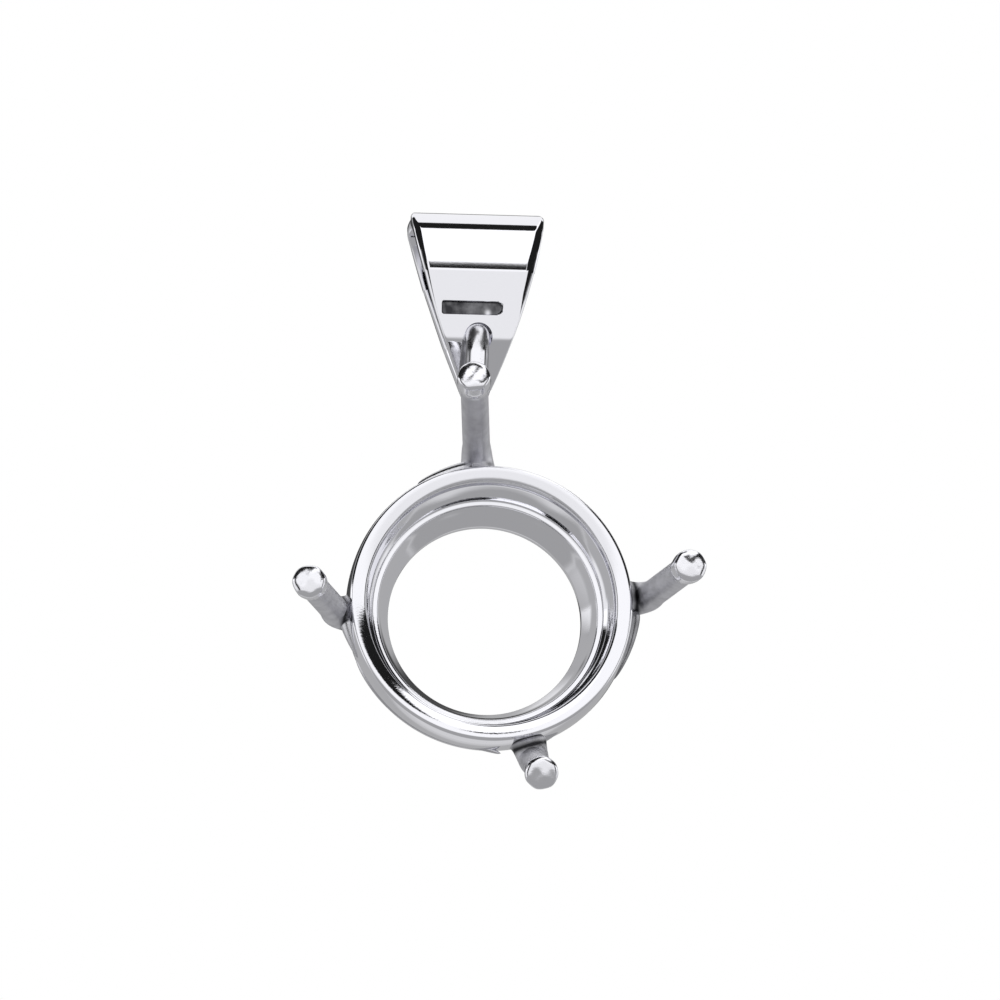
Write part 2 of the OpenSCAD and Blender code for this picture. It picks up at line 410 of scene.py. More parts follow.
patch_shares = np.array([-1.0, -0.86, -0.72, -0.58, -RIM, -0.3, -0.15])
patch_shares = np.concatenate([patch_shares, [0.0], -patch_shares[::-1]])
patch_runs = run_of_height(-EYE_DROP + PATCH_HALF * patch_shares)
mark_runs = run_of_height(
    np.linspace(-MARK_DROP + MARK_ROWS_HALF, -MARK_DROP - MARK_ROWS_HALF, MARK_ROWS))
stretches = [np.linspace(*stretch) for stretch in zip(turn_at[1:6], turn_at[2:7], STRETCH_ROWS)]
end_turn = np.sin(np.linspace(0.0, math.pi / 2, END_ROWS))
plain_runs = np.concatenate(
    [turn_at[1] * np.linspace(0.0, 1.0, FOLD_ROWS) ** FOLD_CROWDING] + stretches
    + [np.linspace(turn_at[6], turn_at[7] - END_R, LAST_ROWS), turn_at[7] - END_R * (1 - end_turn)])
in_patch = (plain_runs > patch_runs.min() - ROW_GAP) & (plain_runs < patch_runs.max() + ROW_GAP)
in_mark = (plain_runs > mark_runs.min()) & (plain_runs < mark_runs.max())
half_runs = np.unique(np.round(
    np.concatenate([plain_runs[~in_patch & ~in_mark], patch_runs, mark_runs]), 5))
runs = np.concatenate([half_runs[::-1], half_runs[1:]])
is_back = np.concatenate([np.zeros(len(half_runs)), np.ones(len(half_runs) - 1)])[:, None]
row_high = np.interp(runs, run_fine, high_fine)
print("rows:", len(runs))

# %% [markdown]
# Columns are shares of the face's width, from -1 at its left side to 1 at its right. The hole's
# square and the blank field's left wall have their own. A plain column that would lie almost on
# one of those is left out, because slivers between them show as dark whiskers.

# %% Columns of the strap's grid
PATCH_SHARE = 0.84
MARK_COLUMNS = np.linspace(-0.97, -0.84, 33)
PLAIN_COLUMNS = np.linspace(-1.0, 1.0, 81)
LEAST_APART = 0.006

fixed_shares = np.concatenate([PATCH_SHARE * patch_shares, MARK_COLUMNS])
apart = np.abs(PLAIN_COLUMNS[:, None] - fixed_shares[None, :]).min(axis=1) > LEAST_APART
face_shares = np.unique(np.round(np.concatenate([fixed_shares, PLAIN_COLUMNS[apart]]), 4))
n_face = len(face_shares)
print("columns on a face:", n_face)

# %% [markdown]
# The section across the strap is a flat bar. Its outer edges were bevelled with a file, more on
# the right than on the left, and most of all at the crease. The inner edges are only just
# broken. A bevel is a straight slope with a small curve in place of both its corners.

# %% The bevels along the strap's sides
BEVEL_HIGH = [-3.4, -2.6, -1.4, -0.4, 0.1, 0.45]
LEFT_REACH = [0.07, 0.12, 0.18, 0.20, 0.10, 0.08]
RIGHT_REACH = [0.07, 0.22, 0.30, 0.26, 0.12, 0.08]
INNER_REACH = [0.07] * len(BEVEL_HIGH)
LEFT_SLOPE, RIGHT_SLOPE = math.tan(math.radians(32.0)), math.tan(math.radians(28.0))
INNER_SLOPE = 1.0
FACE_LEAD, FACE_CUT = 0.03, 0.02
SIDE_CUT, SIDE_RUN = 0.01, 0.04
CURVE_SHARE, CURVE_POINTS = 0.3, 7


def rounded(before, corner, after, steps):
    """For each corner a quadratic curve, (1-t)^2 before + 2t(1-t) corner + t^2 after."""
    t = np.linspace(0.0, 1.0, steps)[None, :, None]
    before, corner, after = before[:, None], corner[:, None], after[:, None]
    return (1 - t) ** 2 * before + 2 * t * (1 - t) * corner + t ** 2 * after


def bevel(reach, slope):
    """For each row, the way from the face to the side as inset from the side and depth below
    the face: a straight bevel, its depth the slope times its reach, with a curve at each end."""
    reach = np.interp(row_high, BEVEL_HIGH, reach)
    drop = reach * slope
    zero = np.zeros(len(reach))
    start = np.stack([reach + FACE_LEAD, zero], axis=-1)
    high_corner = np.stack([reach - FACE_CUT, zero], axis=-1)
    low_corner = np.stack([zero + SIDE_CUT, drop], axis=-1)
    end = np.stack([zero, drop + SIDE_RUN], axis=-1)
    middle = (high_corner + low_corner) / 2
    near = high_corner + (middle - high_corner) * CURVE_SHARE
    far = low_corner + (middle - low_corner) * CURVE_SHARE
    return np.concatenate([rounded(start, high_corner, near, CURVE_POINTS),
                           rounded(far, low_corner, end, CURVE_POINTS)], axis=1)


print("points round a bevel:", bevel(LEFT_REACH, LEFT_SLOPE).shape[1])

# %% [markdown]
# Between the bevels lies the face. Away from the hole its points are simply spread across it.
# Around the hole they move along rays from the hole's axis, so that the square of rows and
# columns turns into the circle step by step.

# %% The faces of the strap
STRAP_T, EYE_R = 0.45, 0.46
PAST_FOLD, LEAVES_FROM, LEAF_GAP = 0.5, 0.6, 0.05
TINY_SHARE, TINY_MM = 1e-6, 1e-9


def across(share, high, left_reach, right_reach):
    """Distance across the strap: share * (half width - the bevels' mean) + half their difference."""
    left = np.interp(high, BEVEL_HIGH, left_reach) + FACE_LEAD
    right = np.interp(high, BEVEL_HIGH, right_reach) + FACE_LEAD
    return share * (half_width(high, is_back) - (left + right) / 2) + (left - right) / 2


def strap_face(depth, left_reach, right_reach):
    """Distance across, run along and place in the square for the points of one face, depth below
    the outer one. In the square a point lies on the ray from the hole's axis to the square's edge,
    at edge * (1 - bend) + circle * bend, with bend going from 0 at the edge to 1 at the rim."""
    share, high = np.broadcast_arrays(face_shares[None, :], row_high[:, None])
    square_x, square_y = share / PATCH_SHARE, (high + EYE_DROP) / PATCH_HALF
    ring = np.maximum(np.abs(square_x), np.abs(square_y))
    bent = ring < 1.0
    to_edge = np.where(bent, 1.0 / np.maximum(ring, TINY_SHARE), 1.0)
    edge_high = np.where(bent, square_y * to_edge * PATCH_HALF - EYE_DROP, high)
    edge_x = across(share * to_edge, edge_high, left_reach, right_reach)
    high_here = high_fine - depth * np.sin(angle_fine)
    edge_up = np.interp(run_of_height(edge_high), run_fine, high_here) + EYE_DROP
    to_circle = EYE_R / (np.hypot(edge_x, edge_up) + TINY_MM)
    bend = np.clip((1.0 - ring) / (1.0 - RIM), 0.0, 1.0)
    x = edge_x * (1 - bend + bend * to_circle)
    up = edge_up * (1 - bend + bend * to_circle)
    past_fold = run_fine > PAST_FOLD
    bent_run = np.interp(EYE_DROP - up, -high_here[past_fold], run_fine[past_fold])
    return x, np.where(bent, bent_run, runs[:, None]), ring


def strap_points(x, at_run, depth):
    """Points at a distance x across, a run along, and a depth below the outer face. The leaves
    keep a hair's gap where they come together at the foot."""
    angle = np.interp(at_run, run_fine, angle_fine)
    out = np.interp(at_run, run_fine, out_fine) - depth * np.cos(angle)
    high = np.interp(at_run, run_fine, high_fine) - depth * np.sin(angle)
    side = np.where(is_back > 0.5, 1.0, -1.0)
    out = np.maximum(out, np.where(at_run > LEAVES_FROM, LEAF_GAP, 0.0))
    return np.stack([x, side * out, high], axis=-1)


outer_x, outer_run, outer_ring = strap_face(0.0, LEFT_REACH, RIGHT_REACH)
inner_x, inner_run, _ = strap_face(STRAP_T, INNER_REACH, INNER_REACH)
print("points on each face:", outer_x.size)

# %% [markdown]
# The blank field is a bar pressed into the front leaf, square at its left end and round at its
# right end. Points inside its outline move back by its depth. The foot of the strap is rounded
# over its thickness, and then the faces and the sides are put side by side in one grid.

# %% Press the blank field and join the section
MARK_X, MARK_L, MARK_W, MARK_DEPTH = -0.22, 2.04, 0.46, 0.12
MARK_CORNER_R, MARK_WALL = 0.09, 0.06


def s_curve(t):
    """t^2 (3 - 2t) with t kept between 0 and 1: a passage from 0 to 1 with flat ends."""
    t = np.clip(t, 0.0, 1.0)
    return t * t * (3 - 2 * t)


def pressed(x, at_run):
    """1 inside the blank field and 0 outside: an S-curve of the distance inside its outline,
    which is a box with its corners cut back by their radius and that radius added again."""
    along = at_run - run_of_height(-MARK_DROP)
    corner_r = np.where(x < MARK_X, MARK_CORNER_R, MARK_W / 2)
    over_x = np.maximum(np.abs(x - MARK_X) - (MARK_L / 2 - corner_r), 0.0)
    over_y = np.maximum(np.abs(along) - (MARK_W / 2 - corner_r), 0.0)
    return s_curve((corner_r - np.hypot(over_x, over_y)) / MARK_WALL) * (is_back < 0.5)


to_corner = np.maximum(END_R - (turn_at[-1] - runs), 0.0)
inset = (END_R - np.sqrt(np.maximum(END_R ** 2 - to_corner ** 2, 0.0)))[:, None]
outer_face = strap_points(outer_x, outer_run, inset + MARK_DEPTH * pressed(outer_x, outer_run))
inner_face = strap_points(inner_x, inner_run, STRAP_T - inset)


def edge_columns(side):
    """The columns round one side of the strap, from the outer face to the inner face."""
    outer = bevel(RIGHT_REACH, RIGHT_SLOPE) if side > 0 else bevel(LEFT_REACH, LEFT_SLOPE)
    inner = bevel(INNER_REACH, INNER_SLOPE)[:, :0:-1]
    insets = np.concatenate([outer[:, 1:, 0], inner[..., 0]], axis=1)
    depths = np.concatenate([outer[:, 1:, 1], STRAP_T - inner[..., 1]], axis=1)
    x = side * (half_width(row_high[:, None], is_back) - insets - inset)
    at_run = np.repeat(runs[:, None], insets.shape[1], axis=1)
    return strap_points(x, at_run, np.clip(depths, inset, STRAP_T - inset))


strap_grid = np.concatenate(
    [outer_face, edge_columns(1.0), inner_face[:, ::-1], edge_columns(-1.0)[:, ::-1]], axis=1)
n_rows, n_cols = strap_grid.shape[:2]
inner_start = n_cols // 2
print("the strap's grid:", n_rows, "by", n_cols)

# %% [markdown]
# The faces inside the rims are dropped, and a short wall joins the outer rim to the inner rim
# in each leaf. The rims are found in the same way on both faces, so the wall is a strip of quads.

# %% Skin the strap
ON_RIM = 1e-3
STRAP_SHARP_DEG = 32.0

index = np.arange(n_rows * n_cols).reshape(n_rows, n_cols)
in_hole = np.zeros((n_rows, n_cols), bool)
in_hole[:, :n_face] = outer_ring < RIM - ON_RIM
in_hole[:, inner_start:inner_start + n_face] = in_hole[:, :n_face][:, ::-1]
quads = grid_faces(n_rows, n_cols)
quads = quads[~in_hole.reshape(-1)[quads].any(axis=1)]
rim_rows = np.where(np.abs(np.abs(row_high + EYE_DROP) / PATCH_HALF - RIM) < ON_RIM)[0]
rim_cols = np.where(np.abs(np.abs(face_shares) / PATCH_SHARE - RIM) < ON_RIM)[0]


def rim_wall(rows):
    """Quads between the square of grid points on the outer rim, in order, and the same on the
    inner rim, whose columns run the other way."""
    top, low, left, right = rows.min(), rows.max(), rim_cols.min(), rim_cols.max()
    outer_rim = np.concatenate([index[top, left:right], index[top:low, right],
                                index[low, right:left:-1], index[low:top:-1, left]])
    column = outer_rim % n_cols
    inner_rim = outer_rim - column + inner_start + n_face - 1 - column
    return np.stack([outer_rim, np.roll(outer_rim, -1), np.roll(inner_rim, -1), inner_rim], axis=-1)


n_front = len(half_runs)
walls = [rim_wall(rim_rows[rim_rows < n_front]), rim_wall(rim_rows[rim_rows >= n_front])]
ends = [index[0][None, ::-1], index[-1][None, :]]
bail_piece = make_piece(
    "bail_strap", strap_grid.reshape(-1, 3), [quads] + walls + ends, STRAP_SHARP_DEG)

# %% [markdown]
# ## Hanging the setting
# Everything else hangs from the holes, leaning a few degrees to one side, as a loose pendant
# does. The pieces are drawn upright around the swing's axis, and this helper leans and drops
# them into place.

# %% Lean and drop
LEAN_DEG = 3.8
HANG, LIP_FRONT, RING_X = 8.95, 0.9, -0.14


def hung(points):
    """Turn about the Y axis by the lean, then move down to the holes."""
    c, s = math.cos(math.radians(LEAN_DEG)), math.sin(math.radians(LEAN_DEG))
    x, y, z = points[..., 0], points[..., 1], points[..., 2]
    return np.stack([x * c - z * s, y, x * s + z * c - EYE_DROP], axis=-1)


def on_ring(angle_deg, radius, behind):
    """A point at an angle about the ring's axis, a radius, and a depth behind the lip."""
    a = np.radians(angle_deg)
    behind = np.broadcast_to(behind, np.broadcast(a, radius).shape)
    x, z = radius * np.cos(a), radius * np.sin(a)
    return np.stack([x + RING_X, behind - LIP_FRONT, z - HANG], axis=-1)


ring_middle = hung(on_ring(0.0, 0.0, 0.0))
print("middle of the ring's lip, mm:", np.round(ring_middle, 2))

# %% [markdown]
# ## Wires and rods
# The loop, the prongs and the runs of solder are all round rods that bend. A rod is a circle
# carried along a path. At each point the circle needs two directions across the path: a fixed
# helper direction with its part along the path taken off, and the path's cross product with it.
# Corners of the path are first swapped for short curves, because wire doesn't fold.

# %% A helper that carries a circle along a path
ROD_SHARP_DEG = 40.0


def eased_path(corners, ease, steps):
    """Straight pieces between corners, with a quadratic curve over the length ease on each side
    of every inner corner."""
    corners = np.asarray(corners, float)
    ease = np.broadcast_to(ease, len(corners) - 2)[:, None]
    inner = corners[1:-1]
    back, ahead = corners[:-2] - inner, corners[2:] - inner
    before = inner + back / np.linalg.norm(back, axis=1, keepdims=True) * ease
    after = inner + ahead / np.linalg.norm(ahead, axis=1, keepdims=True) * ease
    curves = rounded(before, inner, after, steps)
    return np.concatenate([corners[:1], curves.reshape(-1, 3), corners[-1:]])


def evenly(path, count):
    """The same path with its points at equal distances, and those distances from its start."""
    steps = np.linalg.norm(np.diff(path, axis=0), axis=1)
    at = np.concatenate([[0.0], np.cumsum(steps)])
    even = np.linspace(0.0, at[-1], count)
    return np.stack([np.interp(even, at, path[:, k]) for k in range(3)], axis=-1), even


def rod_grid(path, radius, helper, n_around, power=1.0):
    """path + radius (cos u * side + sin u * up), with side square to path and near to helper.
    A power below 1 on the sine and cosine, their signs kept, flattens four sides of the rod.
    Radius and power are one number each, or one for each point of the path."""
    tangent = np.gradient(path, axis=0)
    tangent /= np.linalg.norm(tangent, axis=1, keepdims=True)
    helper = np.asarray(helper, float)
    side = helper - (tangent @ helper)[:, None] * tangent
    side /= np.linalg.norm(side, axis=1, keepdims=True)
    up = np.cross(tangent, side)
    u = np.linspace(0.0, 2 * math.pi, n_around, endpoint=False)[None, :, None]
    power = np.broadcast_to(power, len(path))[:, None, None]
    wide, tall = (np.sign(wave) * np.abs(wave) ** power for wave in (np.cos(u), np.sin(u)))
    r = np.broadcast_to(radius, len(path))[:, None, None]
    return path[:, None] + r * (wide * side[:, None] + tall * up[:, None])


def make_rod(name, grid):
    """Skin a rod's grid and close both ends with triangles to the middle of the end circle."""
    rows, cols = grid.shape[:2]
    points = np.concatenate([grid.reshape(-1, 3), grid[0].mean(0)[None], grid[-1].mean(0)[None]])
    first = np.arange(cols)[::-1]
    last = np.arange(cols) + (rows - 1) * cols
    ends = [np.stack([ring, np.roll(ring, -1), np.full(cols, rows * cols + k)], axis=-1)
            for k, ring in enumerate((first, last))]
    return make_piece(name, hung(points), [grid_faces(rows, cols)] + ends, ROD_SHARP_DEG)


print("points of a path with one corner:",
      len(eased_path([[0, 0, 0], [1, 0, 0], [1, 1, 0]], 0.5, 10)))

# %% [markdown]
# ## The wire loop
# The loop is one length of wire: up from the top prong, through both holes of the bail, and down
# to the back of that prong's root, where it is soldered. The rolls left its legs a little flat on
# four sides. Where it turns in the holes it is round, so that the square corners don't catch.

# %% Bend the wire loop
WIRE_R = 0.38
LEG_REACH, LEG_LOW, FRONT_KNEE_X = 1.67, 1.75, -0.26
LOOP_TOP_X = (-0.08, 0.03)
FRONT_FOOT, BACK_FOOT = [-0.2, -0.15, -3.5], [0.0, 0.75, -4.3]
LOOP_EASES, LOOP_STEPS, LOOP_POINTS, WIRE_COLUMNS = [0.5, 0.55, 0.62, 0.5], 16, 180, 64
FLAT_BELOW, ROUND_ABOVE, FLAT_POWER = -0.7, -0.3, 0.72

loop_corners = [FRONT_FOOT, [FRONT_KNEE_X, -LEG_REACH, -LEG_LOW], [LOOP_TOP_X[0], -LEG_REACH, 0],
                [LOOP_TOP_X[1], LEG_REACH, 0], [0, LEG_REACH, -LEG_LOW], BACK_FOOT]
loop_path, loop_at = evenly(eased_path(loop_corners, LOOP_EASES, LOOP_STEPS), LOOP_POINTS)
loop_power = np.interp(loop_path[:, 2], [FLAT_BELOW, ROUND_ABOVE], [FLAT_POWER, 1.0])
loop_grid = rod_grid(loop_path, WIRE_R, (1, 0, 0), WIRE_COLUMNS, loop_power)
loop_piece = make_rod("wire_loop", loop_grid)
print("wire, mm:", round(loop_at[-1], 1))

# %% [markdown]
# ## The ring
# The ring was turned or cast as one piece: a lip that is dished a little towards the stone, a
# bore, a narrow land on which the stone rests, and a tapering way out at the back. It is a
# closed outline carried round an axis. Each corner of the outline has its own small rounding,
# because a polished edge is never sharp, and because the rounding draws the thin bright and dark
# lines around the ring.

# %% The ring's outline and the ring
RING_CORNERS = np.array([
    # [radius, depth behind the lip, rounding]
    [4.10, 0.155, 0.02],
    [4.13, 0.091, 0.015],
    [4.17, 0.066, 0.03],
    [4.24, 0.0445, 0.03],
    [4.34, 0.023, 0.04],
    [4.42, 0.0096, 0.04],
    [4.50, 0.002, 0.04],
    [4.57, 0.000, 0.05],
    [4.63, 0.07, 0.07],
    [4.70, 0.55, 0.40],
    [4.68, 1.40, 0.20],
    [4.58, 1.60, 0.08],
    [4.34, 1.86, 0.10],
    [3.76, 2.80, 0.12],
    [3.24, 2.80, 0.05],
    [3.19, 2.74, 0.04],
    [3.19, 2.45, 0.04],
    [3.48, 1.80, 0.15],
    [3.62, 1.385, 0.05],
    [3.79, 1.38, 0.06],
    [3.93, 1.16, 0.10],
    [4.02, 0.88, 0.12],
    [4.10, 0.55, 0.10],
])
OUTLINE_STEPS, RING_ROWS, RING_SHARP_DEG = 6, 320, 50.0
MOST_OF_SIDE = 0.48


def eased_outline(rows, steps):
    """Each corner is swapped for a quadratic curve that starts and ends a rounding away from it
    on both sides, but never past the middle of a side."""
    corner, ease = rows[:, :2], rows[:, 2:3]
    back, ahead = np.roll(corner, 1, axis=0) - corner, np.roll(corner, -1, axis=0) - corner
    back_len = np.linalg.norm(back, axis=1, keepdims=True)
    ahead_len = np.linalg.norm(ahead, axis=1, keepdims=True)
    before = corner + back / back_len * np.minimum(ease, MOST_OF_SIDE * back_len)
    after = corner + ahead / ahead_len * np.minimum(ease, MOST_OF_SIDE * ahead_len)
    return rounded(before, corner, after, steps).reshape(-1, 2)


ring_outline = eased_outline(RING_CORNERS, OUTLINE_STEPS)
around = np.linspace(0.0, 360.0, RING_ROWS, endpoint=False)
ring_grid = on_ring(around[:, None], ring_outline[None, :, 0], ring_outline[None, :, 1])
ring_faces = grid_faces(*ring_grid.shape[:2], join_rows=True)
ring_piece = make_piece("ring", hung(ring_grid).reshape(-1, 3), [ring_faces], RING_SHARP_DEG)

# %% [markdown]
# ## The prongs
# Four prongs stand forward from the ring, ready to be cut and bent over a stone. Each starts as
# a stub out of the ring, turns through a tight elbow, and ends in a swollen head. Bending and
# filing left each one a little different, so each is a row of its own in a table. The heads
# were snipped and not polished flat, so two crossed waves put a few shallow dents in them.

# %% The prongs' thickness and dents
PRONG_R, STUB_R, STUB_L = 0.45, 0.54, 1.4
HEAD_R, HEAD_L, HEAD_RISE, DOME_L = 0.54, 0.495, 0.5, 0.24
SOLDER_FOOT, FOOT_FROM, FOOT_L = 0.16, 0.12, 0.12
DENT_DEPTH, DENT_REACH, DENT_FADE, HEAD_MIDDLE = 0.013, 0.8, 0.3, 0.45
WAVE_X, WAVE_Z = 11.0, 9.0


def prong_radius(left_to_go, gone):
    """The rod's radius from its root to its tip: stub, shank, swollen head, and a nearly flat
    end that closes as (1 - u^3)^(1/3). A foot of solder widens the root."""
    stub = PRONG_R + (STUB_R - PRONG_R) * np.clip(STUB_L - gone, 0.0, 1.0)
    head = (HEAD_R - PRONG_R) * s_curve(1.0 - (left_to_go - HEAD_L) / HEAD_RISE)
    foot = SOLDER_FOOT * np.exp(-np.maximum(gone - FOOT_FROM, 0.0) / FOOT_L)
    near_tip = np.clip(1.0 - left_to_go / DOME_L, 0.0, 1.0)
    return (stub + head + foot) * (1.0 - near_tip ** 3) ** (1 / 3)


def dented(grid, path, left_to_go, phase):
    """Points of the head move away from its middle by depth * sin(11 x + phase) *
    sin(9 z + 2 phase), which fades in along the last part of the rod."""
    away = grid - path[np.argmin(np.abs(left_to_go - HEAD_MIDDLE))]
    away /= np.linalg.norm(away, axis=-1, keepdims=True)
    fade = np.clip((DENT_REACH - left_to_go) / DENT_FADE, 0.0, 1.0)[:, None]
    wave = np.sin(WAVE_X * grid[..., 0] + phase) * np.sin(WAVE_Z * grid[..., 2] + 2 * phase)
    return grid + (DENT_DEPTH * fade * wave)[..., None] * away


print("radius 0.1 and 2 mm before the tip:",
      np.round(prong_radius(np.array([0.1, 2.0]), np.array([5.0, 3.1])), 2))

# %% [markdown]
# The rod's rows are even along its length, but the last ones crowd together, because the end
# turns through a right angle there.

# %% Bend the four prongs
PRONGS = {
    # name: (angle of the root, elbow's distance, tip's angle, tip's distance)
    "prong_top": (90.6, 5.22, 94.7, 6.66),
    "prong_left": (179.2, 4.96, 180.6, 6.38),
    "prong_bottom": (282.5, 5.29, 276.5, 6.83),
    "prong_right": (2.0, 5.24, -0.5, 6.12),
}
ROOT_R, STUB_DEPTH, PRONG_REACH = 4.47, 1.0, 4.1
PRONG_EASE, PRONG_STEPS, PRONG_POINTS, PRONG_COLUMNS = 0.5, 14, 150, 44
TAIL_L, TAIL_ROWS, TAIL_GAP, LEAST_R = 0.3, 26, 0.02, 0.004

tail_turn = np.sin(np.linspace(0, math.pi / 2, TAIL_ROWS))
prong_pieces = {}
for name, (root_angle, elbow_r, tip_angle, tip_r) in PRONGS.items():
    corners = [on_ring(root_angle, ROOT_R, STUB_DEPTH), on_ring(root_angle, elbow_r, STUB_DEPTH),
               on_ring(tip_angle, tip_r, -PRONG_REACH)]
    path, at = evenly(eased_path(corners, PRONG_EASE, PRONG_STEPS), PRONG_POINTS)
    tail = at[-1] - TAIL_L * (1 - tail_turn)
    at_rows = np.concatenate([at[at < tail[0] - TAIL_GAP], tail])
    path = np.stack([np.interp(at_rows, at, path[:, k]) for k in range(3)], axis=-1)
    left_to_go = at_rows[-1] - at_rows
    radius = np.maximum(prong_radius(left_to_go, at_rows), LEAST_R)
    is_level = abs(math.tan(math.radians(root_angle))) < 1.0
    grid = rod_grid(path, radius, (0, 0, 1) if is_level else (1, 0, 0), PRONG_COLUMNS)
    prong_pieces[name] = make_rod(name, dented(grid, path, left_to_go, root_angle))

# %% [markdown]
# ## Solder
# Solder leaves a small run where it was drawn along a joint. Each run is a slim rod that lies
# along the outside of the ring and sinks into it at both ends, apart from the longest one, whose
# last bit stands off the ring.

# %% Draw the runs of solder
SOLDER = {
    # name: (from angle, to angle, line's radius, depth, radius at start, radius at end, kick)
    "solder_top": (93.0, 117.0, 4.66, 0.50, 0.30, 0.10, 0.0),
    "solder_right": (357.0, 326.0, 4.64, 0.80, 0.36, 0.08, 0.0),
    "solder_left": (182.0, 200.0, 4.58, 0.70, 0.42, 0.12, 0.0),
    "solder_bottom": (196.0, 271.0, 4.60, 1.15, 0.14, 0.09, 0.22),
    "solder_stub": (281.0, 296.0, 4.58, 0.90, 0.34, 0.12, 0.0),
}
SOLDER_ROWS, SOLDER_COLUMNS, SOLDER_LEAST_R = 90, 32, 0.003
KICK_FROM, END_POWER = 0.84, 12

t = np.linspace(0.0, 1.0, SOLDER_ROWS)
kicked = (np.clip(t - KICK_FROM, 0.0, 1.0) / (1 - KICK_FROM)) ** 2
ends_close = np.sqrt(np.clip(1.0 - (2 * t - 1.0) ** END_POWER, 0.0, 1.0))
solder_pieces = {}
for name, (start, end, line_r, depth, start_r, end_r, kick) in SOLDER.items():
    path = on_ring(start + (end - start) * t, line_r + kick * kicked, depth)
    radius = np.maximum((start_r + (end_r - start_r) * t) * ends_close, SOLDER_LEAST_R)
    solder_pieces[name] = make_rod(name, rod_grid(path, radius, (0, 1, 0), SOLDER_COLUMNS))

# %% [markdown]
# ## Finishes
# Silver is polished on a wheel. What is left are hairlines too fine to see one by one, a slow
# ripple from casting and filing, and a duller skin where the wheel can't reach. These are the
# same on every piece, only stronger or weaker, so they are one node group with the amounts as
# its inputs. The group also mixes in a near-black colour by one amount, which is painted shade
# on most pieces and the solder's own greyer tone.

# %% The group that every silver finish shares
silver_skin = bpy.data.node_groups.new("silver_skin", "ShaderNodeTree")
for socket_name, default in {"Shine roughness": 0.05, "Dullness": 0.0, "Ripple": 0.3,
                             "Hairlines": 0.2, "Shade_and_dirt": 0.0}.items():
    socket = silver_skin.interface.new_socket(
        name=socket_name, in_out="INPUT", socket_type="NodeSocketFloat")
    socket.default_value = default
for socket_name, kind in {"Color": "NodeSocketColor", "Roughness": "NodeSocketFloat",
                          "Height": "NodeSocketFloat"}.items():
    silver_skin.interface.new_socket(name=socket_name, in_out="OUTPUT", socket_type=kind)
skin_nodes, skin_links = silver_skin.nodes, silver_skin.links
amount = skin_nodes.new("NodeGroupInput").outputs
result = skin_nodes.new("NodeGroupOutput").inputs
skin_math = math_nodes(silver_skin)


def skin_noise(scale, detail, stretch=(1.0, 1.0, 1.0)):
    """Noise on the object's own coordinates, in cycles to the millimetre."""
    own = skin_nodes.new("ShaderNodeTexCoord")
    mapping = skin_nodes.new("ShaderNodeMapping")
    mapping.inputs["Scale"].default_value = [s / MM for s in stretch]
    skin_links.new(own.outputs["Object"], mapping.inputs["Vector"])
    noise = skin_nodes.new("ShaderNodeTexNoise")
    noise.inputs["Scale"].default_value = scale
    noise.inputs["Detail"].default_value = detail
    skin_links.new(mapping.outputs[0], noise.inputs["Vector"])
    return noise.outputs["Fac"]


ripple_noise = skin_noise(scale=0.9, detail=2.0)
hairline_noise = skin_noise(scale=9.0, detail=3.0, stretch=(1.0, 0.15, 3.0))
cloud_noise = skin_noise(scale=2.5, detail=4.0)
print("sockets of the group:", [item.name for item in silver_skin.interface.items_tree])

# %% [markdown]
# Roughness is the shine's own, plus a cloudy share of the dullness, plus a trace of the
# hairlines. Height is the ripple and the hairlines, each times its amount. The colour goes from
# silver to a greyer skin by the dullness, and from there towards near black by the shade and
# dirt amount, which paints shade on most pieces.

# %% Wire the group
DULL_ROUGHNESS, CLOUD_ROUGHNESS, HAIRLINE_ROUGHNESS = 0.26, 0.2, 0.02
SILVER, GREYED_SILVER = (0.91, 0.91, 0.955, 1.0), (0.62, 0.62, 0.65, 1.0)
SHADE_AND_DIRT, SHADE_AND_DIRT_LEAST, SHADE_AND_DIRT_CLOUDS = (0.045, 0.045, 0.05, 1.0), 0.62, 0.6


def plus_times(base, factor, value):
    """base + factor * value."""
    return skin_math("ADD", base, skin_math("MULTIPLY", factor, value))


def mixed(first, second, share):
    """The first colour where the share is 0 and the second where it is 1."""
    mix = skin_nodes.new("ShaderNodeMix")
    mix.data_type = "RGBA"
    if isinstance(first, tuple):
        mix.inputs["A"].default_value = first
    else:
        skin_links.new(first, mix.inputs["A"])
    mix.inputs["B"].default_value = second
    skin_links.new(share, mix.inputs["Factor"])
    return mix.outputs["Result"]


dull = amount["Dullness"]
roughness = plus_times(amount["Shine roughness"], dull,
                       plus_times(DULL_ROUGHNESS, cloud_noise, CLOUD_ROUGHNESS))
roughness = plus_times(roughness, hairline_noise, HAIRLINE_ROUGHNESS)
skin_links.new(roughness, result["Roughness"])
fine_height = skin_math("MULTIPLY", hairline_noise, amount["Hairlines"])
skin_links.new(plus_times(fine_height, ripple_noise, amount["Ripple"]), result["Height"])
# Painted shade, and the solder's greyer tone: a near-black colour mixed in by the amount, in clouds.
patchy = plus_times(SHADE_AND_DIRT_LEAST, cloud_noise, SHADE_AND_DIRT_CLOUDS)
shade_and_dirt_share = skin_math("MINIMUM", skin_math("MULTIPLY", amount["Shade_and_dirt"], patchy), 1.0)
greyed = mixed(SILVER, GREYED_SILVER, skin_math("MULTIPLY", dull, cloud_noise))
skin_links.new(mixed(greyed, SHADE_AND_DIRT, shade_and_dirt_share), result["Color"])
print("nodes in the group:", len(skin_nodes))

# %% [markdown]
# A material is the group with its own amounts, feeding one metal shader. Where a finish changes
# over a piece, such as a prong that is bright at its head and dull along its shank, each point
# of the mesh carries an amount of its own that the material reads.

# %% Materials from the group
BUMP_STRENGTH, BUMP_M = 0.35, 0.00002


